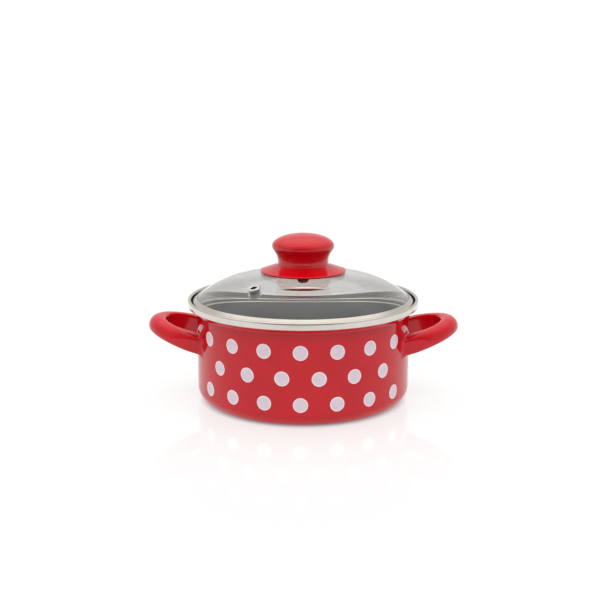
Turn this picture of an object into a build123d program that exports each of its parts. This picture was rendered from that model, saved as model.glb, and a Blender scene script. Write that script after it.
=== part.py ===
from build123d import *
import math
import os

# Sizes in millimetres. Z is up, the pot stands on Z = 0 with its axis on Z, the handles lie along X.

# Pot: one drawn steel sheet, enamelled inside and out
pot_radius = 80.0        # outside of the wall
lip_height = 75.5        # table to the end of the sheet
pot_sheet = 1.6          # steel with both coats of enamel
base_corner = 10.5       # outside bend between base and wall
base_hollow = 0.6        # how far the middle of the base stands off the table
base_ring = 12.0         # flat ring that stands on the table, inside the corner
base_ramp = 10.0         # width of the bend from that ring to the middle
flare_reach = 6.1        # how far the lip stands outside the wall
flare_rise = 7.5         # height of the bend that carries the lip outwards
lip_straight = 1.3       # upright end of the lip

# Steel band rolled over the lip
band_sheet = 0.5
band_fit = 0.05          # between the band and the enamel
band_skirt = 5.2         # crest of the band to its lower edge
band_hem = 0.45          # bend that turns the lower edge in

# Handles: pressed channels, open underneath, welded to the wall
handle_height = 42.3     # table to the handle at the wall, on the line of its underside at the tip
handle_tilt = 16.2       # degrees that the handle climbs outwards
handle_reach = 39.4      # wall to tip, along the handle
handle_width = 65.0      # over both legs
handle_depth = 11.6      # crest to underside at the tip
leg_drop = 2.2           # how much deeper the legs are at the wall
handle_sheet = 1.8       # steel with its enamel
shoulder_round = 7.5     # outer upper edge
heel_round = 3.8         # outer lower edge
lower_turn = 4.2         # how far the lower edges are turned in
slot_width = 43.0        # between the legs
slot_reach = 27.6        # wall to the outer end of the slot
slot_end = 19.0          # length of the slot's rounded end
slot_round = 2.0         # upper edge of the slot
slot_heel = 1.9          # lower edge of the slot
weld_gap = 0.05          # between the handle's ends and the wall

# Lid: a tempered glass dome with a crown arc and a tighter shoulder arc
lid_play = 2.05          # edge of the glass to the pot's band
lid_rest = 0.3           # the lid's band above its ledge in the pot
glass_thickness = 4.0
dome_rise = 23.3         # edge of the glass to the crown
crown_radius = 200.0
crown_reach = 52.0       # where the crown arc hands over to the shoulder arc
glass_round = 1.2        # how far the ground edge is rounded out

# Steel band rolled round the edge of the glass
lid_sheet = 0.5
lid_fit = 0.1            # between the band and the glass
lid_lip = 2.4            # how far the band reaches in over the glass
lid_bend = 0.8           # bends of the band
collar_play = 1.0        # between the pot's wall and the collar that centres the lid
collar_depth = 4.6       # how far the collar hangs below the underside of the band's foot
collar_bend = 1.3        # bend between the foot and the collar
collar_bead = 0.7        # radius of the roll that ends it, to the middle of the sheet

# Steam vent: a steel eyelet in a silicone grommet, clinched over a washer
vent_radius = 55.0       # from the axis of the lid
vent_angle = -127.8      # degrees from +X
vent_bore = 4.4
vent_wall = 0.7          # of the eyelet's barrel
vent_flange = 9.4        # diameter of the eyelet on top
vent_crown = 1.1         # height of the eyelet's rolled flange
vent_clinch = 0.9        # how far the clinched end spreads past the barrel
grommet_wall = 0.5
grommet_flange = 8.6     # diameter
grommet_rim = 0.6        # thickness on top of the glass
vent_washer_size = 9.8   # diameter
vent_washer_sheet = 0.9

# Knob: a moulded grip on a wide skirt
knob_skirt = 64.2        # diameter of the skirt
skirt_edge = 1.6         # thickness of its edge
skirt_foot = 39.4        # diameter where the skirt meets the grip
skirt_climb = 4.0        # from the top of the edge to that diameter
neck_size = 37.8         # waist of the grip
neck_height = 5.0        # waist above the crown of the glass
neck_pull = 7.25         # how long the grip stays upright above its waist
cap_pull = 3.5           # and below its widest diameter
cap_size = 46.6          # widest diameter of the grip
cap_height = 17.2        # widest diameter above the crown of the glass
cap_rise = 9.2           # from there to the top of the knob
skirt_seat = 5.5         # width of the ring that sits on the glass
skirt_recess = 1.5       # hollow under the skirt, above the crown of the glass
boss_pad = 19.0          # diameter of the pad under the knob
knob_rest = 0.15         # seat of the knob above the glass

# Fixing: a screw from below through a bush, a washer and a pad into a brass insert
insert_size = 9.0        # diameter
insert_length = 11.0
insert_groove = 0.6
screw_size = 4.8         # diameter of the shank
screw_grip = 9.5         # shank inside the insert
screw_head = 9.6         # diameter
screw_head_height = 3.8
screw_crown = 1.25       # upright side of the head
screw_flat = 3.8         # diameter of the flat under the head
recess_width = 5.3       # cross recess for a driver, over its arms
recess_arm = 1.3
recess_depth = 1.5
pad_thickness = 0.8
bush_bore_wall = 1.2     # bush between the shank and the glass
bush_flange = 16.0       # diameter
bush_rim = 1.2           # thickness under the glass
washer_size = 17.0       # diameter
washer_sheet = 1.0
fit = 0.05               # between pieces that are pressed or screwed together
slack = 0.1              # between loose washers and what they sit on


def spin(edges, plane=Plane.XZ):
    axis = Axis(plane.origin, plane.y_dir)
    return revolve(plane * make_face(edges), axis)


def outline(*points):
    return Polyline(*points, close=True).edges()


def ring(inner, outer, low, high):
    return spin(outline((inner, low), (outer, low), (outer, high), (inner, high)))


def s_bend(start, end, tangent):
    middle = ((start[0] + end[0]) / 2, (start[1] + end[1]) / 2)
    first = TangentArc(start, middle, tangent=tangent)
    return [first, TangentArc(middle, end, tangent=first % 1)]


def strip(path, sheet):
    return revolve(Plane.XZ * trace(Curve() + path, sheet), Axis.Z)


# Pot, followed along the middle of its sheet
half = pot_sheet / 2
wall_line = pot_radius - half
lip_line = wall_line + flare_reach
flare_top = lip_height - lip_straight
flare_start = flare_top - flare_rise
ring_outer = pot_radius - base_corner
ring_inner = ring_outer - base_ring
ramp_end = ring_inner - base_ramp

base_arc = TangentArc((ring_outer, half), (wall_line, base_corner), tangent=(1, 0))
pot_path = [Line((0, base_hollow + half), (ramp_end, base_hollow + half))]
pot_path += s_bend((ramp_end, base_hollow + half), (ring_inner, half), (1, 0))
pot_path += [Line((ring_inner, half), (ring_outer, half)), base_arc]
pot_path += [Line((wall_line, base_corner), (wall_line, flare_start))]
pot_path += s_bend((wall_line, flare_start), (lip_line, flare_top), (0, 1))
pot_path += [Line((lip_line, flare_top), (lip_line, lip_height))]
pot_shell = strip(pot_path, pot_sheet)

# Band of the pot: down inside the lip, over its end, down outside and turned in below
band_off = half + band_fit + band_sheet / 2
band_in = lip_line - band_off
band_out = lip_line + band_off
band_crest = lip_height + band_off + band_sheet / 2
hem_top = band_crest - band_skirt + band_hem + band_sheet / 2
crest_arc = ThreePointArc(
    (band_in, lip_height), (lip_line, lip_height + band_off), (band_out, lip_height)
)
hem_arc = TangentArc((band_out, hem_top), (band_out - band_hem, hem_top - band_hem), tangent=(0, -1))
band_path = [Line((band_in, flare_top + band_fit), (band_in, lip_height)), crest_arc]
band_path += [Line((band_out, lip_height), (band_out, hem_top)), hem_arc]
pot_rim_band = strip(band_path, band_sheet)
band_bore = band_in - band_sheet / 2


# Handles, first level with the wall at X = 0 and their legs running on into the pot
leg_back = -pot_radius / 2


def loop(reach, width, end, low, high):
    # a U of two straight legs and an elliptical end, from inside the pot out to its reach
    centre = reach - end
    side = width / 2
    arc = EllipticalCenterArc((centre, 0), end, side, -90, arc_size=180)
    legs = Polyline((centre, side), (leg_back, side), (leg_back, -side), (centre, -side))
    return Pos(0, 0, low) * extrude(make_face(arc.edges() + legs.edges()), high - low)


def rim(solid, upward):
    # edges of the flat crest or underside, save those at the cut-off ends of the legs
    flats = solid.faces().filter_by(GeomType.PLANE).sort_by(lambda face: face.normal_at().Z)
    face = flats[-1] if upward else flats[0]
    return face.edges().filter_by(lambda edge: edge.center().X > leg_back + fit)


def slot_rim(solid, upward):
    edges = rim(solid, upward).filter_by(lambda edge: edge.center().X < slot_reach + fit)
    return edges.filter_by(lambda edge: abs(edge.center().Y) < slot_width / 2 + fit)


def ear(inset):
    # the handle before its slot, or the hollow inside it; its underside drops towards the wall
    reach = handle_reach - inset
    width = handle_width - 2 * inset
    solid = loop(reach, width, reach, -handle_depth, handle_depth - inset)
    fall = math.degrees(math.atan2(leg_drop, handle_reach))
    floor = Pos(handle_reach, 0, inset) * Rot(0, -fall, 0) * Pos(0, 0, -handle_reach)
    solid -= floor * Box(6 * handle_reach, 2 * handle_width, 2 * handle_reach)
    solid = fillet(rim(solid, True), max(shoulder_round - inset, fit))
    return fillet(rim(solid, False), max(heel_round - inset, fit))


def slot(grow, low):
    return loop(slot_reach + grow, slot_width + 2 * grow, slot_end + grow, low, 2 * handle_depth)


def handle():
    body = ear(0) - slot(0, -handle_depth)
    body = fillet(slot_rim(body, True), slot_round)
    body = fillet(slot_rim(body, False), slot_heel)
    body -= ear(handle_sheet) - slot(handle_sheet, -handle_depth)
    # the turned-in lower edges leave a seam open along the underside
    seam_reach = handle_reach - lower_turn
    seam = loop(seam_reach, handle_width - 2 * lower_turn, seam_reach, -handle_depth, handle_depth / 2)
    body -= seam - slot(lower_turn, -2 * handle_depth)
    placed = Pos(pot_radius, 0, handle_height) * Rot(0, -handle_tilt, 0) * body
    return placed - Cylinder(pot_radius + weld_gap, 4 * lip_height)


handle_right = handle()
handle_left = mirror(handle_right, Plane.YZ)

# Lid, first about its own crown at (0, 0)
glass_edge = band_bore - lid_play
lean = math.asin(crown_reach / crown_radius)
handover = Vector(crown_reach, crown_radius * (math.cos(lean) - 1))
normal = Vector(math.sin(lean), math.cos(lean))
chord = Vector(glass_edge, -dome_rise) - handover
shoulder_radius = -chord.dot(chord) / (2 * normal.dot(chord))
shoulder_centre = handover - normal * shoulder_radius
edge_normal = (Vector(glass_edge, -dome_rise) - shoulder_centre) / shoulder_radius


def dome_height(radius, inset=0.0):
    # height of the glass face, or of a face parallel to it, against the crown
    if radius <= (crown_radius - inset) * math.sin(lean):
        return math.sqrt((crown_radius - inset) ** 2 - radius**2) - crown_radius
    sweep = (shoulder_radius - inset) ** 2 - (radius - shoulder_centre.X) ** 2
    return shoulder_centre.Y + math.sqrt(sweep)


def dome(inset, lift):
    # crown arc and shoulder arc parallel to the outer face of the glass
    top = Vector(0, lift - inset)
    turn = handover - normal * inset + Vector(0, lift)
    end = Vector(glass_edge, lift - dome_rise) - edge_normal * inset
    crown = TangentArc(top, turn, tangent=(1, 0))
    return [crown, TangentArc(turn, end, tangent=crown % 1)]


# The ledge in the pot's flare carries the lower edge of the lid's band
top_off = lid_fit + lid_sheet / 2
lid_corner = glass_edge + edge_normal.X * top_off - edge_normal.X * lid_bend
lid_wall = lid_corner + lid_bend
flare_bend = (flare_reach**2 + flare_rise**2) / (4 * flare_reach)
upper_bend = flare_bend - half
ledge = flare_top - math.sqrt(upper_bend**2 - max(lid_corner - lip_line + flare_bend, 0) ** 2)
lid_bottom = ledge + lid_rest
# the ground edge is an arc across the glass, and its lowest point clears the band's foot
edge_radius = (glass_thickness / 2) ** 2 / (2 * glass_round) + glass_round / 2
edge_centre = glass_thickness / 2 * edge_normal.Y - edge_normal.X * (edge_radius - glass_round)
crown_height = lid_bottom + lid_sheet + lid_fit + dome_rise + edge_centre + edge_radius

# Band of the lid: over the edge of the glass, down outside it, in underneath and down as a collar
foot_line = lid_bottom + lid_sheet / 2
lip_start = glass_edge - lid_lip
over = Vector(glass_edge, crown_height - dome_rise) + edge_normal * top_off
lip_point = Vector(lip_start, crown_height + dome_height(lip_start, -top_off))
lid_arc = TangentArc(over, lip_point, tangent=(-edge_normal.Y, edge_normal.X))
bend_top = over.Y - edge_normal.Y * lid_bend
over_arc = TangentArc(over, (lid_wall, bend_top), tangent=(edge_normal.Y, -edge_normal.X))
foot_arc = TangentArc((lid_wall, foot_line + lid_bend), (lid_corner, foot_line), tangent=(0, -1))
lid_path = [lid_arc, over_arc, Line((lid_wall, bend_top), (lid_wall, foot_line + lid_bend)), foot_arc]
collar_line = pot_radius - pot_sheet - collar_play - lid_sheet / 2
collar_top = foot_line - collar_bend
collar_low = lid_bottom - collar_depth + lid_sheet / 2
bead_height = collar_low + collar_bead
collar_arc = TangentArc((collar_line + collar_bend, foot_line), (collar_line, collar_top), tangent=(-1, 0))
bead_arc = CenterArc((collar_line - collar_bead, bead_height), collar_bead, 0, -270)
lid_path += [Line((lid_corner, foot_line), (collar_line + collar_bend, foot_line)), collar_arc]
lid_path += [Line((collar_line, collar_top), (collar_line, bead_height)), bead_arc]
lid_rim_band = strip(lid_path, lid_sheet)

# Steam vent, built square to the glass
bearing = math.radians(vent_angle)
if vent_radius > crown_reach:
    slope = math.asin((vent_radius - shoulder_centre.X) / shoulder_radius)
else:
    slope = math.asin(vent_radius / crown_radius)
vent_out = Vector(math.cos(bearing), math.sin(bearing))
vent_at = vent_out * vent_radius + Vector(0, 0, crown_height + dome_height(vent_radius))
vent_up = vent_out * math.sin(slope) + Vector(0, 0, math.cos(slope))
vent_plane = Plane(vent_at, x_dir=(-math.sin(bearing), math.cos(bearing), 0), z_dir=vent_up)
vent_side = Plane(vent_at, x_dir=vent_plane.x_dir, z_dir=-vent_plane.y_dir)

bore = vent_bore / 2
barrel = bore + vent_wall
sleeve = barrel + fit + grommet_wall
vent_hole = sleeve + fit
under = -glass_thickness
grommet_top = slack + grommet_rim
vent_grommet = spin(
    outline(
        (barrel + fit, under),
        (sleeve, under),
        (sleeve, slack),
        (grommet_flange / 2, slack),
        (grommet_flange / 2, grommet_top),
        (barrel + fit, grommet_top),
    ),
    vent_side,
)
# a flat washer meets the hollow face of the glass at its own edge
hollow_sag = (vent_washer_size / 2) ** 2 / (2 * (min(shoulder_radius, crown_radius) - glass_thickness))
washer_high = under - hollow_sag - slack
washer_low = washer_high - vent_washer_sheet
vent_washer = spin(
    outline(
        (barrel + fit, washer_low),
        (vent_washer_size / 2, washer_low),
        (vent_washer_size / 2, washer_high),
        (barrel + fit, washer_high),
    ),
    vent_side,
)
flange = vent_flange / 2
seat = grommet_top + fit
roll = vent_crown / 2
clinch_top = washer_low - fit
clinch_low = clinch_top - vent_wall
flange_low = Vector(flange - roll, seat)
flange_high = Vector(flange - roll, seat + vent_crown)
lip_high = Vector(bore + roll, seat + vent_crown)
lip_low = Vector(bore, seat + roll)
vent_edges = [
    Polyline((barrel, clinch_top), (barrel, seat), flange_low),
    ThreePointArc(flange_low, (flange, seat + roll), flange_high),
    Line(flange_high, lip_high),
    TangentArc(lip_high, lip_low, tangent=(-1, 0)),
    Polyline(
        lip_low, (bore, clinch_low), (barrel + vent_clinch, clinch_low),
        (barrel + vent_clinch, clinch_top), (barrel, clinch_top)
    ),
]
vent_eyelet = spin([edge for line in vent_edges for edge in line.edges()], vent_side)

# Glass, with holes for the vent and for the fixing screw
shank = screw_size / 2
bush_in = shank + slack
bush_out = bush_in + bush_bore_wall
outer_face = dome(0, crown_height)
inner_face = dome(glass_thickness, crown_height)
outer_end = outer_face[-1] @ 1
inner_end = inner_face[-1] @ 1
nose = (outer_end + inner_end) / 2 + Vector(edge_normal.Y, -edge_normal.X) * glass_round
ground_edge = ThreePointArc(outer_end, nose, inner_end)
glass = spin(outer_face + [ground_edge] + inner_face + [Line(inner_face[0] @ 0, outer_face[0] @ 0)])
glass -= Cylinder(bush_out + fit, 4 * crown_height)
lid_glass = glass - vent_plane * Cylinder(vent_hole, 6 * glass_thickness)

# Knob, about the crown of the glass
pad_low = crown_height + slack
pad_top = pad_low + pad_thickness
pad_seat = pad_top + fit
skirt_out = knob_skirt / 2
seat_in = skirt_out - skirt_seat
skirt_low = crown_height + dome_height(skirt_out) + knob_rest
skirt_top = skirt_low + skirt_edge
seat_low = crown_height + dome_height(seat_in) + knob_rest
foot = Vector(skirt_foot / 2, skirt_top + skirt_climb)
edge_top = Vector(skirt_out - skirt_edge / 2, skirt_top)
cap = Vector(cap_size / 2, crown_height + cap_height)
neck = Vector(neck_size / 2, crown_height + neck_height)
top_z = cap.Y + cap_rise
skirt_under = crown_height + skirt_recess
insert_low = pad_seat + fit
insert_hole = insert_size / 2 + fit
insert_top = insert_low + insert_length

edge_arc = ThreePointArc(
    (skirt_out - skirt_edge / 2, skirt_low), (skirt_out, skirt_low + skirt_edge / 2), edge_top
)
skirt_line = Line(edge_top, foot)
skirt_slope = (foot.Y - edge_top.Y) / (edge_top.X - foot.X)
hollow = Bezier(foot, (neck.X, foot.Y + (foot.X - neck.X) * skirt_slope), neck)
grip = Bezier(neck, neck + Vector(0, neck_pull), cap - Vector(0, cap_pull), cap)
pull = 0.5523            # handles of a quarter ellipse
cap_arc = Bezier(cap, (cap.X, cap.Y + cap_rise * pull), (cap.X * pull, top_z), (0, top_z))
knob_edges = [edge_arc, skirt_line, hollow, grip, cap_arc]
knob_edges += Polyline(
    (0, top_z), (0, insert_top + fit), (insert_hole, insert_top + fit), (insert_hole, pad_seat),
    (boss_pad / 2, pad_seat), (boss_pad / 2, skirt_under), (seat_in, seat_low),
    (skirt_out - skirt_edge / 2, skirt_low)
).edges()
knob = spin(knob_edges)

knob_pad = ring(bush_in, boss_pad / 2, pad_low, pad_top)

waist_low = insert_low + insert_length / 2 - insert_groove
waist_high = insert_low + insert_length / 2 + insert_groove
waist = insert_size / 2 - insert_groove
knob_insert = spin(
    outline(
        (shank + fit, insert_low), (insert_size / 2, insert_low), (insert_size / 2, waist_low),
        (waist, waist_low), (waist, waist_high), (insert_size / 2, waist_high),
        (insert_size / 2, insert_top), (shank + fit, insert_top)
    )
)

# Fixing below the glass
bush_top = crown_height - glass_thickness + dome_height(bush_flange / 2) - slack
bush_low = bush_top - bush_rim
screw_bush = spin(
    outline(
        (bush_in, bush_low), (bush_flange / 2, bush_low), (bush_flange / 2, bush_top),
        (bush_out, bush_top), (bush_out, crown_height), (bush_in, crown_height)
    )
)
washer_top = bush_low - fit
washer_bottom = washer_top - washer_sheet
screw_washer = ring(bush_in, washer_size / 2, washer_bottom, washer_top)

head_top = washer_bottom - fit
head_low = head_top - screw_head_height
head = screw_head / 2
crown_top = Vector(head, head_top - screw_crown)
crown_low = Vector(screw_flat / 2, head_low)
screw_end = insert_low + screw_grip
screw_edges = [TangentArc(crown_top, crown_low, tangent=(0, -1))]
screw_edges += Polyline(
    crown_low, (0, head_low), (0, screw_end), (shank, screw_end), (shank, head_top),
    (head, head_top), crown_top
).edges()
knob_screw = spin(screw_edges)
for turn in (0, 90):
    knob_screw -= Pos(0, 0, head_low) * Rot(0, 0, turn) * Box(recess_width, recess_arm, 2 * recess_depth)

pieces = {
    "pot_shell": pot_shell,
    "pot_rim_band": pot_rim_band,
    "handle_left": handle_left,
    "handle_right": handle_right,
    "lid_glass": lid_glass,
    "lid_rim_band": lid_rim_band,
    "vent_eyelet": vent_eyelet,
    "vent_grommet": vent_grommet,
    "vent_washer": vent_washer,
    "knob": knob,
    "knob_insert": knob_insert,
    "knob_pad": knob_pad,
    "screw_bush": screw_bush,
    "screw_washer": screw_washer,
    "knob_screw": knob_screw,
}

os.makedirs("parts", exist_ok=True)
for node, shape in pieces.items():
    export_step(shape, f"parts/{node}.step")
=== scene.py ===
import math

import bmesh
import bpy
from mathutils import Matrix, Vector
from mathutils.geometry import interpolate_bezier


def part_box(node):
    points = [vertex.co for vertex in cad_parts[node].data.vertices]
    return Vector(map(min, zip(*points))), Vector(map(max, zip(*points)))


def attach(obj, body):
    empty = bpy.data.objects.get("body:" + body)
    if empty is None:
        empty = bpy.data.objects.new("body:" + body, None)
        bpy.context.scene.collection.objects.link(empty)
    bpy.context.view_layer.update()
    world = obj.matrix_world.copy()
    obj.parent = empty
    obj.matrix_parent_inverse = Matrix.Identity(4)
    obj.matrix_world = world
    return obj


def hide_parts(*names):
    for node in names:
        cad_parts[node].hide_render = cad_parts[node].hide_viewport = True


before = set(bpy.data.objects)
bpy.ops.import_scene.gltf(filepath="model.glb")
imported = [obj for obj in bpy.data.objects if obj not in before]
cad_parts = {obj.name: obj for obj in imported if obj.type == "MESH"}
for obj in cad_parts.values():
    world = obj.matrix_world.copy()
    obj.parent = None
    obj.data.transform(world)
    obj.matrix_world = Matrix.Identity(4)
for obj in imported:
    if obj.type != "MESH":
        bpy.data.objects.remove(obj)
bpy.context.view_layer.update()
mm = 0.001  # profiles are drawn in millimetres, meshes are in metres
print("frame loaded:", len(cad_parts), "nodes")


# Outlines: lists of (radius, height) points

def bendPath(corners, steps=8):
    # corners are (radius, height, bend); a bend becomes an arc that touches both runs
    spots = [Vector(c[:2]) for c in corners]
    path = [spots[0]]
    for i in range(1, len(spots) - 1):
        bend = corners[i][2] if len(corners[i]) > 2 else 0
        if bend == 0:
            path.append(spots[i])
            continue
        back = (spots[i - 1] - spots[i]).normalized()
        ahead = (spots[i + 1] - spots[i]).normalized()
        half = back.angle(ahead) / 2
        centre = spots[i] + (back + ahead).normalized() * (bend / math.sin(half))
        start = spots[i] + back * (bend / math.tan(half)) - centre
        end = spots[i] + ahead * (bend / math.tan(half)) - centre
        path += [centre + start.slerp(end, k / steps) * bend for k in range(steps + 1)]
    return path + [spots[-1]]


def arcPath(centre, radius, fromAngle, toAngle, steps):
    # angles from the radius axis, in radians
    angles = [fromAngle + (toAngle - fromAngle) * k / steps for k in range(steps + 1)]
    return [centre + Vector((math.cos(a), math.sin(a))) * radius for a in angles]


def curvePath(start, pullStart, pullEnd, end, steps):
    knots = [Vector((*p, 0)) for p in (start, pullStart, pullEnd, end)]
    return [p.xy for p in interpolate_bezier(*knots, steps + 1)]


def sheetSides(path, sheet):
    # the two faces of a sheet that follows a path along its middle
    left, right = [], []
    for i, spot in enumerate(path):
        run = path[min(i + 1, len(path) - 1)] - path[max(i - 1, 0)]
        off = Vector((-run.y, run.x)).normalized() * (sheet / 2)
        left.append(spot + off)
        right.append(spot - off)
    return left, right


def sheetOutline(path, sheet):
    left, right = sheetSides(path, sheet)
    return left + right[::-1]


# Meshes

def spinOutline(outline, steps, closed=True):
    bm = bmesh.new()
    verts = [bm.verts.new((p.x * mm, 0, p.y * mm)) for p in outline]
    pairs = list(zip(verts, verts[1:]))
    if closed:
        pairs.append((verts[-1], verts[0]))
    for pair in pairs:
        bm.edges.new(pair)
    bmesh.ops.spin(bm, geom=bm.verts[:] + bm.edges[:], cent=(0, 0, 0), axis=(0, 0, 1),
                   angle=math.tau, steps=steps, use_merge=True)
    tidyMesh(bm)
    return bm


mergeReach = 0.0005  # millimetres


def tidyMesh(bm):
    bmesh.ops.remove_doubles(bm, verts=bm.verts, dist=mergeReach * mm)
    bmesh.ops.recalc_face_normals(bm, faces=bm.faces)


sharpAngle = math.radians(42)  # steeper edges stay crisp


def newPiece(name, bm, body, materials, stands=()):
    mesh = bpy.data.meshes.new(name)
    bm.to_mesh(mesh)
    bm.free()
    for material in materials:
        mesh.materials.append(material)
    mesh.shade_smooth()
    mesh.set_sharp_from_angle(angle=sharpAngle)
    piece = bpy.data.objects.new(name, mesh)
    bpy.context.scene.collection.objects.link(piece)
    even = piece.modifiers.new("evenShading", "WEIGHTED_NORMAL")  # keeps flat runs flat beside bends
    even.keep_sharp = True
    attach(piece, body)
    if stands:
        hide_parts(*stands)
    return piece


# Materials

def shaderOf(material):
    return material.node_tree.nodes["Principled BSDF"]


def newMaterial(name, **sockets):
    material = bpy.data.materials.new(name)
    material.use_nodes = True
    for socket, value in sockets.items():
        shaderOf(material).inputs[socket.replace("_", " ")].default_value = value
    return material


def addNode(owner, kind, **settings):
    # owner is a material or the world
    node = owner.node_tree.nodes.new(kind)
    for key, value in settings.items():
        if key in node.inputs:
            node.inputs[key].default_value = value
        else:
            setattr(node, key, value)
    return node


def join(owner, source, output, target, socket):
    owner.node_tree.links.new(source.outputs[output], target.inputs[socket])


def objectNoise(material, scale, detail, stretch=(1, 1, 1)):
    place = addNode(material, "ShaderNodeTexCoord")
    turn = addNode(material, "ShaderNodeMapping", Scale=stretch)
    noise = addNode(material, "ShaderNodeTexNoise", Scale=scale, Detail=detail)
    join(material, place, "Object", turn, "Vector")
    join(material, turn, "Vector", noise, "Vector")
    return noise


def varyColour(material, noise, low, high):
    ramp = addNode(material, "ShaderNodeValToRGB")
    for stop, level, tone in zip(ramp.color_ramp.elements, (0.35, 0.65), (low, high)):
        stop.position = level  # noise lies mostly between these levels
        stop.color = (*tone, 1)
    join(material, noise, "Fac", ramp, "Fac")
    join(material, ramp, "Color", shaderOf(material), "Base Color")


def varyRoughness(material, noise, low, high):
    spread = addNode(material, "ShaderNodeMapRange")
    spread.inputs["To Min"].default_value = low
    spread.inputs["To Max"].default_value = high
    join(material, noise, "Fac", spread, "Value")
    join(material, spread, "Result", shaderOf(material), "Roughness")


def addBump(material, noise, depth, before=None):
    # depth in millimetres
    bump = addNode(material, "ShaderNodeBump", Strength=1.0, Distance=depth * mm)
    join(material, noise, "Fac", bump, "Height")
    if before:
        join(material, before, "Normal", bump, "Normal")
    join(material, bump, "Normal", shaderOf(material), "Normal")
    return bump


def redEnamelFinish():
    material = newMaterial("redEnamel", IOR=1.45)
    varyColour(material, objectNoise(material, 45, 3), (0.54, 0.001, 0.008), (0.585, 0.002, 0.011))
    varyRoughness(material, objectNoise(material, 90, 3), 0.03, 0.07)
    flow = addBump(material, objectNoise(material, 70, 1), 0.03)  # slow waves of the fired coat
    addBump(material, objectNoise(material, 600, 2), 0.0015, flow)  # orange peel
    return material


def dotFinish(name, low, high):
    material = newMaterial(name, IOR=1.5)
    varyColour(material, objectNoise(material, 400, 4), low, high)
    varyRoughness(material, objectNoise(material, 300, 2), 0.1, 0.2)
    addBump(material, objectNoise(material, 900, 3), 0.002)
    return material


def greyEnamelFinish():
    material = newMaterial("greyEnamel", IOR=1.5)
    varyColour(material, objectNoise(material, 900, 4), (0.029, 0.041, 0.046), (0.038, 0.053, 0.06))
    varyRoughness(material, objectNoise(material, 120, 3), 0.1, 0.18)
    flow = addBump(material, objectNoise(material, 60, 1), 0.03)
    addBump(material, objectNoise(material, 700, 2), 0.002, flow)
    return material


def steelFinish(name, tone, low, high):
    # rolled and polished bands: fine lines run round the axis
    material = newMaterial(name, Metallic=1.0)
    place = addNode(material, "ShaderNodeTexCoord")
    split = addNode(material, "ShaderNodeSeparateXYZ")
    reach = addNode(material, "ShaderNodeVectorMath", operation="LENGTH")
    flat = addNode(material, "ShaderNodeVectorMath", operation="MULTIPLY")
    flat.inputs[1].default_value = (1, 1, 0)
    turn = addNode(material, "ShaderNodeMath", operation="ARCTAN2")
    lines = addNode(material, "ShaderNodeCombineXYZ")
    slow = addNode(material, "ShaderNodeMath", operation="MULTIPLY")
    slow.inputs[1].default_value = 0.006  # lines are long round the axis
    join(material, place, "Object", split, "Vector")
    join(material, place, "Object", flat, 0)
    join(material, flat, "Vector", reach, 0)
    join(material, split, "Y", turn, 0)
    join(material, split, "X", turn, 1)
    join(material, turn, "Value", slow, 0)
    join(material, reach, "Value", lines, "X")
    join(material, split, "Z", lines, "Y")
    join(material, slow, "Value", lines, "Z")
    grain = addNode(material, "ShaderNodeTexNoise", Scale=2600, Detail=3.0, Roughness=0.6)
    join(material, lines, "Vector", grain, "Vector")
    varyColour(material, objectNoise(material, 130, 3), tone, [c * 1.06 for c in tone])
    varyRoughness(material, grain, low, high)
    dents = addBump(material, objectNoise(material, 110, 2), 0.02)
    addBump(material, grain, 0.001, dents)
    return material


def glassFinish():
    material = newMaterial("lidGlass", IOR=1.5, Transmission_Weight=1.0, Roughness=0.0,
                           Base_Color=(0.98, 0.975, 0.955, 1))
    addBump(material, objectNoise(material, 38, 1), 0.025)  # waves left by pressing
    return material


def phenolicFinish():
    material = newMaterial("redPhenolic", IOR=1.52)
    varyColour(material, objectNoise(material, 160, 3), (0.55, 0.001, 0.005), (0.59, 0.0015, 0.007))
    varyRoughness(material, objectNoise(material, 240, 3), 0.05, 0.1)
    flow = addBump(material, objectNoise(material, 90, 1), 0.015)
    addBump(material, objectNoise(material, 1500, 2), 0.001, flow)
    return material


def rubberFinish(name, low, high):
    material = newMaterial(name)
    varyColour(material, objectNoise(material, 700, 3), low, high)
    varyRoughness(material, objectNoise(material, 500, 2), 0.5, 0.65)
    return material


def brassFinish():
    material = newMaterial("turnedBrass", Metallic=1.0)
    varyColour(material, objectNoise(material, 500, 3), (0.62, 0.42, 0.16), (0.70, 0.49, 0.21))
    varyRoughness(material, objectNoise(material, 900, 2, stretch=(1, 1, 6)), 0.25, 0.4)
    return material


redEnamel = redEnamelFinish()
dotEnamel = dotFinish("dotEnamel", (0.705, 0.595, 0.66), (0.755, 0.645, 0.71))
# paler colour for the painted highlight round the edge of each dot
dotHighlightRim = dotFinish("dotHighlightRim", (0.84, 0.74, 0.79), (0.88, 0.78, 0.83))
greyEnamel = greyEnamelFinish()
potSteel = steelFinish("potSteel", (0.65, 0.614, 0.563), 0.06, 0.16)
lidSteel = steelFinish("lidSteel", (0.66, 0.60, 0.53), 0.06, 0.16)
# much darker steel: painted shade for the gap between the two bands
paintedGrooveShade = steelFinish("paintedGrooveShade", (0.26, 0.24, 0.215), 0.3, 0.45)
ventSteel = steelFinish("ventSteel", (0.80, 0.79, 0.78), 0.1, 0.2)
lidGlass = glassFinish()
redPhenolic = phenolicFinish()
darkSilicone = rubberFinish("darkSilicone", (0.1, 0.1, 0.1), (0.14, 0.14, 0.14))
paleSilicone = rubberFinish("paleSilicone", (0.42, 0.41, 0.39), (0.5, 0.49, 0.47))
turnedBrass = brassFinish()
print("materials made")


# Pot: one sheet, drawn and flared, red outside and grey inside

pot = {
    "radius": 80.0,  # outside of the wall
    "sheet": 1.6,
    "corner": 10.5,  # outside bend at the base
    "hollow": 0.6,  # middle of the base above the table
    "ring": 12.0,  # flat ring that stands on the table
    "ramp": 10.0,
    "rampBend": 12.0,
    "flareRise": 7.5,
    "lipStraight": 1.3,
    "steps": 192,
}


def boxTop(node):
    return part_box(node)[1].z / mm


def boxReach(node):
    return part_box(node)[1].y / mm


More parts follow.
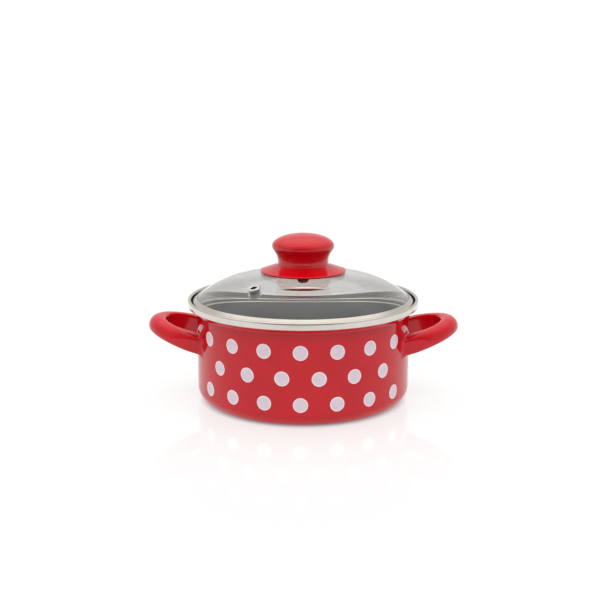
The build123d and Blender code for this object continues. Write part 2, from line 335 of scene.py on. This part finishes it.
def potPath():
    half = pot["sheet"] / 2
    wall = pot["radius"] - half
    lip = boxReach("pot_shell") - half
    top = boxTop("pot_shell")
    flareTop = top - pot["lipStraight"]
    flareLow = flareTop - pot["flareRise"]
    ringOut = pot["radius"] - pot["corner"]
    ringIn = ringOut - pot["ring"]
    floor = pot["hollow"] + half
    reach = lip - wall
    bend = (reach ** 2 + pot["flareRise"] ** 2) / (4 * reach)
    tilt = math.acos(1 - reach / 2 / bend)
    path = bendPath([
        (0, floor), (ringIn - pot["ramp"], floor, pot["rampBend"]), (ringIn, half, pot["rampBend"]),
        (wall, half, pot["corner"] - half), (wall, flareLow),
    ], steps=14)
    path += arcPath(Vector((wall + bend, flareLow)), bend, math.pi, math.pi - tilt, steps=10)[1:]
    path += arcPath(Vector((lip - bend, flareTop)), bend, -tilt, 0, steps=10)[1:]
    return path + [Vector((lip, top))]


def makePot():
    left, right = sheetSides(potPath(), pot["sheet"])  # left is the inside
    bm = spinOutline(right + left[::-1], pot["steps"], closed=False)
    for face in bm.faces:
        middle = face.calc_center_median()
        outward = face.normal.to_2d().dot(middle.to_2d().normalized()) - face.normal.z
        face.material_index = 0 if outward > 0 else 1
    return newPiece("pot_enamelled_body", bm, "pot", [redEnamel, greyEnamel],
                    ["pot_shell"])


makePot()
print("pot made")


# Printed dots, fired into the coat on the front and the back

dots = {
    "size": 10.55,
    "rise": 0.06,  # thickness of the print
    "rows": [(7, 54.3), (6, 35.7), (7, 17.1)],  # dots in a row, height
    "pitch": 18.55,  # degrees from dot to dot
    "slant": 0.0071,  # fall of the print along its length
    "edge": 0.2,  # slope of the print's edge
    "rim": 0.6,  # lighter line round each dot: a painted highlight along the edge of the print
    "rings": 4,
    "sides": 48,
}


def makeDots(name, facing):
    bm = bmesh.new()
    radius = dots["size"] / 2
    ringWidth = (radius - dots["edge"] - dots["rim"]) / dots["rings"]
    for count, height in dots["rows"]:
        for k in range(count):
            turn = math.radians(dots["pitch"]) * (k - (count - 1) / 2)
            made = bmesh.ops.create_circle(bm, cap_ends=True, segments=dots["sides"], radius=radius)
            face = made["verts"][0].link_faces[0]
            insetFace(bm, face, dots["edge"], dots["rise"])
            # the ring between the print's edge and this inset takes the painted highlight colour
            insetFace(bm, face, dots["rim"], 0)
            face.material_index = 1
            for _ in range(dots["rings"] - 1):
                insetFace(bm, face, ringWidth, 0)
            spots = {v for f in linkedFaces(face) for v in f.verts}
            for v in spots:
                angle = turn + v.co.x / pot["radius"] + facing
                out = (pot["radius"] + v.co.z) * mm
                fall = dots["slant"] * (turn * pot["radius"] + v.co.x)
                v.co = (math.sin(angle) * out, -math.cos(angle) * out, (height + v.co.y - fall) * mm)
    return newPiece(name, bm, "pot", [dotHighlightRim, dotEnamel])


def insetFace(bm, face, thickness, depth):
    bmesh.ops.inset_region(bm, faces=[face], thickness=thickness, depth=depth, use_boundary=True)


def linkedFaces(face):
    found, front = {face}, [face]
    while front:
        near = {f for e in front.pop().edges for f in e.link_faces} - found
        found |= near
        front += near
    return found


makeDots("dot_print_front", 0)
makeDots("dot_print_back", math.pi)
print("dots printed")


# Steel band rolled over the lip of the pot

potBand = {"sheet": 0.5, "fit": 0.05, "hem": 0.45, "steps": 192}
groove = {"depth": 0.5, "upright": 0.9}  # how near to the band's leg and how upright its sides are


def makePotBand():
    off = pot["sheet"] / 2 + potBand["fit"] + potBand["sheet"] / 2
    lip = boxReach("pot_shell") - pot["sheet"] / 2
    crest = boxTop("pot_shell")
    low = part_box("pot_rim_band")[0].z / mm + potBand["sheet"] / 2
    inside = crest - pot["lipStraight"]
    path = [Vector((lip - off, inside))]
    path += arcPath(Vector((lip, crest)), off, math.pi, 0, steps=16)
    path += bendPath([
        (lip + off, crest), (lip + off, low, potBand["hem"]), (lip + off - 2 * potBand["hem"], low),
    ], steps=6)[1:]
    bm = spinOutline(sheetOutline(path, potBand["sheet"]), potBand["steps"])
    shadeGrooveFaces(bm, -1, lip - off, crest)
    return newPiece("pot_rim_rolled_band", bm, "pot", [potSteel, paintedGrooveShade],
                    ["pot_rim_band"])


def shadeGrooveFaces(bm, facing, reach, top):
    # the sides of the groove between the two bands take a darker, rougher steel: painted shade in the
    # narrow gap
    for face in bm.faces:
        middle = face.calc_center_median()
        out = face.normal.to_2d().dot(middle.to_2d().normalized()) * facing
        nearLeg = abs(middle.to_2d().length / mm - reach) < groove["depth"]
        inGroove = nearLeg and middle.z / mm < top and out > groove["upright"]
        face.material_index = 1 if inGroove else 0


makePotBand()
print("pot band made")


# Handles: pressed loops, open underneath, with the enamel run up against the wall

handle = {
    "height": 42.3,  # underside at the tip, taken back to the wall
    "tilt": 16.2,  # degrees
    "reach": 39.36,
    "depth": 11.6,
    "legDrop": 2.2,
    "sheet": 1.8,
    "shoulder": 7.5,  # rounding of the crest at the tip
    "legShoulder": 3.4,  # and beside the wall
    "heel": 3.8,
    "turnIn": 4.2,  # lower edges turned towards each other
    "slotWidth": 43.0,
    "slotReach": 27.6,
    "slotEnd": 19.0,
    "slotRound": 2.0,
    "slotHeel": 1.9,
    "footFlare": 3.2,  # bead of enamel between leg and wall
    "footShares": (0, 0.06, 0.2, 0.42, 0.7, 1.0),  # stations of the bead, closer near the wall
    "stations": 44,
}


def handleSection(breadth, low, shoulder):
    # outer and inner face of the pressed channel, from one lower edge round to the other
    half = handle["sheet"] / 2
    high = handle["depth"]
    path = bendPath([
        (handle["turnIn"], low + half),
        (half, low + half, handle["heel"] - half),
        (half, high - half, shoulder - half),
        (breadth - half, high - half, handle["slotRound"] - half),
        (breadth - half, low + half, handle["slotHeel"] - half),
        (breadth - handle["turnIn"], low + half),
    ], steps=7)
    return sheetSides(path, handle["sheet"])


def handleStations():
    # (outer point, inner point, distance to the wall or None) from the front leg round to the back leg
    side = boxReach("handle_right")
    slotSide = handle["slotWidth"] / 2
    slotStart = handle["slotReach"] - handle["slotEnd"]
    flare = handle["footFlare"]
    foot = [(Vector((0, side)), Vector((slotStart, slotSide)), flare * d) for d in handle["footShares"]]
    arc = []
    for k in range(handle["stations"] + 1):
        angle = math.pi * (0.5 - k / handle["stations"])
        outer = Vector((math.cos(angle) * handle["reach"], math.sin(angle) * side))
        inner = Vector((math.cos(angle) * handle["slotEnd"] + slotStart, math.sin(angle) * slotSide))
        arc.append((outer, inner, None))
    mirrored = [(o * Vector((1, -1)), i * Vector((1, -1)), d) for o, i, d in reversed(foot)]
    return foot + arc + mirrored


def placeHandle(x, y, z):
    tilt = math.radians(handle["tilt"])
    return Vector((
        pot["radius"] + x * math.cos(tilt) - z * math.sin(tilt),
        y,
        handle["height"] + x * math.sin(tilt) + z * math.cos(tilt),
    )) * mm


def wallAt(y, z):
    # where a line along the leg meets the wall
    tilt = math.radians(handle["tilt"])
    sag = math.sqrt(pot["radius"] ** 2 - y ** 2) - pot["radius"]
    return (sag + z * math.sin(tilt)) / math.cos(tilt)


def handleRing(outer, inner, wallGap):
    across = (inner - outer).normalized()
    low = -handle["legDrop"] * (1 - (outer.x + inner.x) / 2 / handle["reach"])
    if wallGap is not None:
        low = -handle["legDrop"]
        across = Vector((0, math.copysign(1, inner.y - outer.y)))
    breadth = abs((inner - outer).dot(across))
    ease = 1 - min(max(outer.x / handle["reach"], 0), 1)
    shoulder = handle["shoulder"] + (handle["legShoulder"] - handle["shoulder"]) * ease
    outside, inside = handleSection(breadth, low, shoulder)
    if wallGap is not None:
        flare = handle["footFlare"]
        swell = flare - math.sqrt(flare ** 2 - (flare - wallGap) ** 2)
        outside = [a + (a - b) * (swell / handle["sheet"]) for a, b in zip(outside, inside)]
    ring = []
    for spot in outside + inside[::-1]:
        at = outer + across * spot.x
        x = at.x if wallGap is None else wallAt(at.y, spot.y) + wallGap
        ring.append(placeHandle(x, at.y, spot.y))
    return ring


def extrudeRing(bm, ring):
    edges = [bm.edges.get((a, b)) for a, b in zip(ring, ring[1:] + ring[:1])]
    made = bmesh.ops.extrude_edge_only(bm, edges=edges)["geom"]
    fresh = {v for v in made if isinstance(v, bmesh.types.BMVert)}
    return [next(e.other_vert(v) for e in v.link_edges if e.other_vert(v) in fresh) for v in ring]


def makeHandle(name, node, mirrored):
    bm = bmesh.new()
    ring = None
    for station in handleStations():
        places = handleRing(*station)
        if ring is None:
            ring = [bm.verts.new(p) for p in places]
            for a, b in zip(ring, ring[1:] + ring[:1]):
                bm.edges.new((a, b))
        else:
            ring = extrudeRing(bm, ring)
            for v, p in zip(ring, places):
                v.co = p
    bmesh.ops.holes_fill(bm, edges=bm.edges, sides=0)
    if mirrored:
        bmesh.ops.scale(bm, vec=(-1, 1, 1), verts=bm.verts)
    tidyMesh(bm)
    return newPiece(name, bm, "pot", [redEnamel], [node])


makeHandle("handle_right_loop", "handle_right", False)
makeHandle("handle_left_loop", "handle_left", True)
print("handles made")


# Lid: a pressed glass dome with a crown arc and a tighter shoulder arc

dome = {
    "thickness": 4.0,  # at the crown
    "thinning": 2.4,  # how much thinner the glass is at its edge
    "evenReach": 20.0,  # radius within which it keeps its thickness
    "rise": 23.3,  # crown above the edge
    "edge": 81.9,  # radius of the edge
    "crownRadius": 200.0,
    "crownReach": 52.0,
    "hole": 3.75,  # radius of the hole for the knob's screw
    "ground": 1.2,  # rounding of the ground edge
    "ventHole": 3.45,
    "crownShare": 0.6,  # of the points of a face
    "edgeSteps": 8,
    "steps": 256,
}
crownHeight = boxTop("screw_bush")
lean = math.asin(dome["crownReach"] / dome["crownRadius"])
crownCentre = Vector((0, crownHeight - dome["crownRadius"]))
handover = crownCentre + Vector((math.sin(lean), math.cos(lean))) * dome["crownRadius"]
domeEdge = Vector((dome["edge"], crownHeight - dome["rise"]))
chord = domeEdge - handover
slope = Vector((math.sin(lean), math.cos(lean)))
shoulderRadius = -chord.dot(chord) / (2 * slope.dot(chord))
shoulderCentre = handover - slope * shoulderRadius
edgeNormal = (domeEdge - shoulderCentre).normalized()


def domePath(inset, start, steps=44):
    # a face of the glass, or one parallel to it, from a radius near the axis to the edge
    crown = dome["crownRadius"] - inset
    crownSteps = int(steps * dome["crownShare"])
    fromAngle = math.acos(start / crown)
    edgeAngle = math.atan2(edgeNormal.y, edgeNormal.x)
    path = arcPath(crownCentre, crown, fromAngle, math.pi / 2 - lean, crownSteps)
    return path + arcPath(shoulderCentre, shoulderRadius - inset, math.pi / 2 - lean, edgeAngle,
                          steps - crownSteps)[1:]


def domeHeight(radius):
    if radius <= dome["crownReach"]:
        return crownCentre.y + math.sqrt(dome["crownRadius"] ** 2 - radius ** 2)
    return shoulderCentre.y + math.sqrt(shoulderRadius ** 2 - (radius - shoulderCentre.x) ** 2)


def hollowPath(start, steps=44):
    # the inner face, from a radius near the axis to the edge
    crown = dome["crownRadius"]
    path = []
    for spot in domePath(0, start * crown / (crown - dome["thickness"]), steps):
        centre = crownCentre if spot.x <= dome["crownReach"] else shoulderCentre
        share = max(spot.x - dome["evenReach"], 0) / (dome["edge"] - dome["evenReach"])
        depth = dome["thickness"] - dome["thinning"] * share ** 2
        path.append(spot + (centre - spot).normalized() * depth)
    return path


def pathHeight(path, radius):
    # height of a face at a radius
    for a, b in zip(path, path[1:]):
        if a.x <= radius <= b.x:
            return a.lerp(b, (radius - a.x) / (b.x - a.x)).y


vent = {
    "radius": 55.0,  # from the axis of the lid
    "angle": -127.8,  # degrees from +X
    "bore": 4.4,
    "wall": 0.7,
    "flange": 9.4,
    "crown": 1.1,
    "roll": 0.539,  # rounding of the flange's edge, just under half its height
    "seat": 0.75,  # flange above the glass
    "clinch": 0.9,
    "clinchRound": 0.2,
    "endRound": 0.3,
    "length": 6.3,  # from the glass down to the clinched end
    "steps": 64,
}
ventBearing = Matrix.Rotation(math.radians(vent["angle"]), 4, "Z")
ventSpot = Vector((vent["radius"], domeHeight(vent["radius"])))
ventNormal = (ventSpot - shoulderCentre).normalized()
ventTilt = Matrix.Rotation(math.atan2(ventNormal.x, ventNormal.y), 4, "Y")
ventPlace = ventBearing @ Matrix.Translation(Vector((ventSpot.x, 0, ventSpot.y)) * mm) @ ventTilt


def openVentHole(bm):
    # removes the patch round the vent on both faces, draws the rims in to circles and joins them
    toVent = ventPlace.inverted()
    hollow = hollowPath(dome["hole"], steps=400)  # fine enough to read heights from
    hole = dome["ventHole"] * mm

    def near(face):
        # inside the hole, and no deeper than a little below the glass
        at = toVent @ face.calc_center_median()
        return at.to_2d().length < hole and at.z > -3 * dome["thickness"] * mm

    bmesh.ops.delete(bm, geom=[f for f in bm.faces if near(f)], context="FACES")
    rims = [e for e in bm.edges if e.is_boundary]
    for v in {v for e in rims for v in e.verts}:
        at = toVent @ v.co
        at.xy = at.xy.normalized() * hole
        moved = ventPlace @ at
        reach = moved.to_2d().length / mm
        height = pathHeight(hollow, reach) if at.z < -dome["thickness"] * mm / 2 else domeHeight(reach)
        v.co = (moved.x, moved.y, height * mm)
    bmesh.ops.bridge_loops(bm, edges=rims)


def makeGlass():
    upper = domePath(0, dome["hole"])
    lower = hollowPath(dome["hole"])
    middle = (upper[-1] + lower[-1]) / 2
    nose = Vector((edgeNormal.y, -edgeNormal.x)) * dome["ground"]
    edge = []
    for k in range(1, dome["edgeSteps"]):
        angle = math.pi * k / dome["edgeSteps"]
        edge.append(middle + (upper[-1] - middle) * math.cos(angle) + nose * math.sin(angle))
    bm = spinOutline(upper + edge + lower[::-1], dome["steps"])
    openVentHole(bm)
    tidyMesh(bm)
    return newPiece("lid_glass_dome", bm, "lid", [lidGlass], ["lid_glass"])


makeGlass()
print("glass made")


# Steel band rolled round the edge of the glass

lidBand = {
    "sheet": 0.5,
    "fit": 0.1,
    "lip": 2.4,
    "bend": 0.8,
    "collarBend": 1.3,
    "collarDepth": 4.6,  # below the foot
    "collarPlay": 1.0,  # from the wall of the pot to the collar that centres the lid
    "bead": 0.7,  # roll that ends the collar
    "steps": 192,
}


def makeLidBand():
    off = lidBand["fit"] + lidBand["sheet"] / 2
    wall = boxReach("lid_rim_band") - lidBand["sheet"] / 2
    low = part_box("lid_rim_band")[0].z / mm + lidBand["sheet"] / 2
    foot = low + lidBand["collarDepth"]
    collar = pot["radius"] - pot["sheet"] - lidBand["collarPlay"] - lidBand["sheet"] / 2
    roll = Vector((collar - lidBand["bead"], low + lidBand["bead"]))
    over = [p for p in domePath(-off, dome["hole"], steps=200) if p.x > dome["edge"] - lidBand["lip"]]
    shoulder = domeEdge + edgeNormal * (off - lidBand["bend"])
    edgeAngle = math.atan2(edgeNormal.y, edgeNormal.x)
    path = over[:-1] + arcPath(shoulder, lidBand["bend"], edgeAngle, 0, steps=8)
    path += bendPath([
        path[-1], (wall, foot, lidBand["bend"]), (collar, foot, lidBand["collarBend"]), (collar, roll.y),
    ], steps=8)[1:-1]
    path += arcPath(roll, lidBand["bead"], 0, -1.5 * math.pi, steps=20)
    bm = spinOutline(sheetOutline(path, lidBand["sheet"]), lidBand["steps"])
    shadeGrooveFaces(bm, 1, wall, domeEdge.y)
    return newPiece("lid_rim_rolled_band", bm, "lid", [lidSteel, paintedGrooveShade],
                    ["lid_rim_band"])


makeLidBand()
print("lid band made")


# Steam vent: a steel eyelet through the glass

def makeEyelet():
    bore = vent["bore"] / 2
    barrel = bore + vent["wall"]
    flange = vent["flange"] / 2
    roll = vent["crown"] / 2
    top = vent["seat"] + vent["crown"]
    end = -vent["length"]
    half = Vector((bore, (top + end) / 2))
    clinched = barrel + vent["clinch"]
    outline = bendPath([
        half, (bore, top, roll), (flange, top, vent["roll"]), (flange, vent["seat"], vent["roll"]),
        (barrel, vent["seat"]), (barrel, end + vent["wall"]),
        (clinched, end + vent["wall"], vent["clinchRound"]), (clinched, end, vent["endRound"]),
        (bore, end, vent["endRound"]), half,
    ], steps=8)[:-1]
    bm = spinOutline(outline, vent["steps"])
    bmesh.ops.transform(bm, matrix=ventPlace, verts=bm.verts)
    return newPiece("vent_steel_eyelet", bm, "lid", [ventSteel], ["vent_eyelet"])


makeEyelet()
print("vent made")


# Knob: moulded grip on a wide skirt

knob = {
    "skirtEdge": 1.6,
    "foot": 39.4,  # diameter where skirt and grip meet
    "climb": 4.0,
    "neck": 37.8,
    "neckHeight": 5.0,  # above the crown of the glass
    "neckPull": 7.25,
    "cap": 46.6,
    "capHeight": 17.2,
    "capPull": 3.5,
    "seat": 5.5,  # width of the ring that sits on the glass
    "rest": 0.15,
    "recess": 1.5,
    "pad": 19.0,
    "fit": 0.05,
    "skirtSteps": 8,
    "steps": 160,
}
ovalPull = 0.5523  # pull that makes a curve a quarter of an ellipse


def makeKnob():
    skirt = boxReach("knob")
    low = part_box("knob")[0].z / mm
    top = boxTop("knob")
    edge = knob["skirtEdge"]
    foot = Vector((knob["foot"] / 2, low + edge + knob["climb"]))
    rim = Vector((skirt - edge / 2, low + edge))
    neck = Vector((knob["neck"] / 2, crownHeight + knob["neckHeight"]))
    cap = Vector((knob["cap"] / 2, crownHeight + knob["capHeight"]))
    crest = Vector((0, top))
    capRise = Vector((0, (top - cap.y) * ovalPull))
    capLean = Vector((cap.x * ovalPull, top))
    fall = (foot.y - rim.y) / (rim.x - foot.x)
    bend = Vector((neck.x, foot.y + (foot.x - neck.x) * fall))
    padSeat = boxTop("knob_pad") + knob["fit"]
    seatIn = skirt - knob["seat"]
    outline = arcPath(Vector((rim.x, low + edge / 2)), edge / 2, -math.pi / 2, math.pi / 2, steps=12)
    outline += [rim.lerp(foot, k / knob["skirtSteps"]) for k in range(1, knob["skirtSteps"])]
    outline += curvePath(foot, foot.lerp(bend, 2 / 3), neck.lerp(bend, 2 / 3), neck, steps=12)
    waistUp = neck + Vector((0, knob["neckPull"]))
    capDown = cap - Vector((0, knob["capPull"]))
    outline += curvePath(neck, waistUp, capDown, cap, steps=16)[1:]
    outline += curvePath(cap, cap + capRise, capLean, crest, steps=24)[1:]
    hole = boxReach("knob_insert") + knob["fit"]
    holeTop = boxTop("knob_insert") + knob["fit"]
    under = bendPath([
        (0, holeTop), (hole, holeTop), (hole, padSeat), (knob["pad"] / 2, padSeat),
        (knob["pad"] / 2, crownHeight + knob["recess"]), (seatIn, domeHeight(seatIn) + knob["rest"]),
        outline[0],
    ])
    bm = spinOutline(outline + under[:-1], knob["steps"], closed=False)
    tidyMesh(bm)
    return newPiece("knob_moulded_grip", bm, "lid", [redPhenolic], ["knob"])


makeKnob()
print("knob made")


# Fixings keep their solids and get their finish

fixings = {
    "vent_grommet": paleSilicone,  # hardly shows through the glass
    "vent_washer": ventSteel,
    "knob_insert": turnedBrass,
    "knob_pad": darkSilicone,
    "screw_bush": darkSilicone,
    "screw_washer": ventSteel,
    "knob_screw": ventSteel,
}
for node, finish in fixings.items():
    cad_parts[node].data.materials.clear()
    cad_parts[node].data.materials.append(finish)
print("fixings finished")


# Stage: white table, a broad light overhead and behind, a dim room in front

stage = {
    "floorWidth": 12.0,
    "floorFront": 0.44,  # the table ends just in front of the picture
    "floorBack": 8.0,
    "floorDrop": 0.05,  # millimetres under the base, so that the two don't touch
    "floorTone": 0.25,
    "floorGlow": 0.67,  # lifts the table to white
    "contactShadowGlow": 0.1,  # emission left right under the pot: a painted contact shadow
    "contactShadowReach": (0.068, 0.0805),  # radii over which the painted contact shadow gives way to the full emission
    "sheen": 0.3,  # gloss of the table beside the pot
    "sheenFar": 0.06,
    "sheenReach": (0.09, 0.17),  # radii between which it fades
    "top": 1.2,  # light overhead
    "topEdge": (0.55, 0.8),  # heights of a direction between which that light comes up
    "topFront": (-0.45, -0.3),  # and how far it reaches to the front
    "softbox": 0.3,  # brighter middle of it
    "softboxSpot": (0, 0.2, 0),
    "softboxFade": (0.42, 0.1),  # distances from that spot, edge and full light
    "sides": 0.72,  # room at the sides and behind
    "front": 0.2,
    "frontEdge": (-0.95, -0.5),  # where the dim front goes over into the sides
    "paper": 1.05,  # what the camera sees behind the table
    "frontFill": {"place": (0, -1.05, 1.3), "width": 1.4, "height": 0.6, "power": 9.0},
    "topFill": {"place": (0, 0.15, 1.2), "width": 1.0, "height": 0.8, "power": 3.0},
    "fillAim": (0, 0, 0.05),
}


def fadeNode(owner, span, levels=(0, 1), kind="SMOOTHSTEP"):
    # goes from one level to the other over a span of its input
    fade = addNode(owner, "ShaderNodeMapRange", interpolation_type=kind)
    for socket, value in zip(("From Min", "From Max", "To Min", "To Max"), (*span, *levels)):
        fade.inputs[socket].default_value = value
    return fade


def makeFloor():
    bm = bmesh.new()
    bmesh.ops.create_grid(bm, x_segments=8, y_segments=8, size=0.5)
    depth = stage["floorFront"] + stage["floorBack"]
    bmesh.ops.scale(bm, vec=(stage["floorWidth"], depth, 1), verts=bm.verts)
    bmesh.ops.translate(bm, vec=(0, depth / 2 - stage["floorFront"], 0), verts=bm.verts)
    mesh = bpy.data.meshes.new("table")
    bm.to_mesh(mesh)
    bm.free()
    floor = bpy.data.objects.new("table", mesh)
    floor.location.z = -stage["floorDrop"] * mm
    bpy.context.scene.collection.objects.link(floor)
    tone = stage["floorTone"]
    material = newMaterial("whiteTable", IOR=1.45, Roughness=0.03, Base_Color=(tone, tone, tone, 1),
                           Emission_Color=(1, 1, 1, 1))
    place = addNode(material, "ShaderNodeTexCoord")
    reach = addNode(material, "ShaderNodeVectorMath", operation="LENGTH")
    sheen = fadeNode(material, stage["sheenReach"], (stage["sheen"], stage["sheenFar"]))
    # emission drops under the pot: a painted contact shadow on the table
    glowAndContactShadow = fadeNode(material, stage["contactShadowReach"], (stage["contactShadowGlow"], stage["floorGlow"]))
    join(material, place, "Object", reach, 0)
    join(material, reach, "Value", sheen, "Value")
    join(material, reach, "Value", glowAndContactShadow, "Value")
    join(material, sheen, "Result", shaderOf(material), "Specular IOR Level")
    join(material, glowAndContactShadow, "Result", shaderOf(material), "Emission Strength")
    mesh.materials.append(material)


def makeRoom():
    world = bpy.data.worlds.new("studio")
    bpy.context.scene.world = world
    world.use_nodes = True
    world.node_tree.nodes.clear()
    place = addNode(world, "ShaderNodeTexCoord")
    split = addNode(world, "ShaderNodeSeparateXYZ")
    join(world, place, "Generated", split, "Vector")
    # dim in front, lighter at the sides and behind
    around = fadeNode(world, stage["frontEdge"], (stage["front"], stage["sides"]))
    join(world, split, "Y", around, "Value")
    # broad light overhead and behind
    high = fadeNode(world, stage["topEdge"])
    behind = fadeNode(world, stage["topFront"])
    overhead = addNode(world, "ShaderNodeMath", operation="MULTIPLY")
    blend = addNode(world, "ShaderNodeMix", B=stage["top"])
    join(world, split, "Z", high, "Value")
    join(world, split, "Y", behind, "Value")
    join(world, high, "Result", overhead, 0)
    join(world, behind, "Result", overhead, 1)
    join(world, overhead, "Value", blend, "Factor")
    join(world, around, "Result", blend, "A")
    # its brighter middle
    level = addNode(world, "ShaderNodeVectorMath", operation="MULTIPLY")
    level.inputs[1].default_value = (1, 1, 0)
    aside = addNode(world, "ShaderNodeVectorMath", operation="DISTANCE")
    aside.inputs[1].default_value = stage["softboxSpot"]
    softbox = fadeNode(world, stage["softboxFade"], (0, stage["softbox"]), "LINEAR")
    total = addNode(world, "ShaderNodeMath", operation="ADD")
    join(world, place, "Generated", level, 0)
    join(world, level, "Vector", aside, 0)
    join(world, aside, "Value", softbox, "Value")
    join(world, blend, "Result", total, 0)
    join(world, softbox, "Result", total, 1)
    # the camera itself sees plain white
    room = addNode(world, "ShaderNodeBackground", Color=(1, 1, 1, 1))
    paper = addNode(world, "ShaderNodeBackground", Color=(1, 1, 1, 1), Strength=stage["paper"])
    rays = addNode(world, "ShaderNodeLightPath")
    pick = addNode(world, "ShaderNodeMixShader")
    out = addNode(world, "ShaderNodeOutputWorld")
    join(world, total, "Value", room, "Strength")
    join(world, rays, "Is Camera Ray", pick, "Fac")
    join(world, room, "Background", pick, 1)
    join(world, paper, "Background", pick, 2)
    join(world, pick, "Shader", out, "Surface")


def addFill(name):
    fill = stage[name]
    lamp = bpy.data.lights.new(name, "AREA")
    lamp.shape = "ELLIPSE"
    lamp.size = fill["width"]
    lamp.size_y = fill["height"]
    lamp.energy = fill["power"]
    box = bpy.data.objects.new(name, lamp)
    box.location = fill["place"]
    aim = Vector(stage["fillAim"]) - Vector(fill["place"])
    box.rotation_euler = aim.to_track_quat("-Z", "Y").to_euler()
    box.visible_glossy = False  # shows in no reflection
    box.visible_transmission = False
    bpy.context.scene.collection.objects.link(box)


makeFloor()
makeRoom()
addFill("frontFill")
addFill("topFill")


# Camera at the photograph's place

view = {
    "focus": Vector((0, 0, 73.93)) * mm,
    "distance": 0.76,
    "elevation": 12.43,
    "azimuth": 1.3,
    "lens": 60.47,
    "sensor": 36,
    "axisPixel": 303.09,  # where the axis of the pot stands in the 600-pixel frame
    "framePixels": 600,
}


def makeCamera():
    lens = bpy.data.cameras.new("camera")
    lens.sensor_width = view["sensor"]
    lens.lens = view["lens"]
    lens.shift_x = -(view["axisPixel"] - view["framePixels"] / 2) / view["framePixels"]
    camera = bpy.data.objects.new("camera", lens)
    up = math.radians(view["elevation"])
    side = math.radians(view["azimuth"])
    back = Vector((math.sin(side) * math.cos(up), -math.cos(side) * math.cos(up), math.sin(up)))
    camera.location = view["focus"] + back * view["distance"]
    camera.rotation_euler = (-back).to_track_quat("-Z", "Y").to_euler()
    bpy.context.scene.collection.objects.link(camera)
    bpy.context.scene.camera = camera


makeCamera()
bpy.context.scene.view_settings.view_transform = "Standard"
print("stage set")
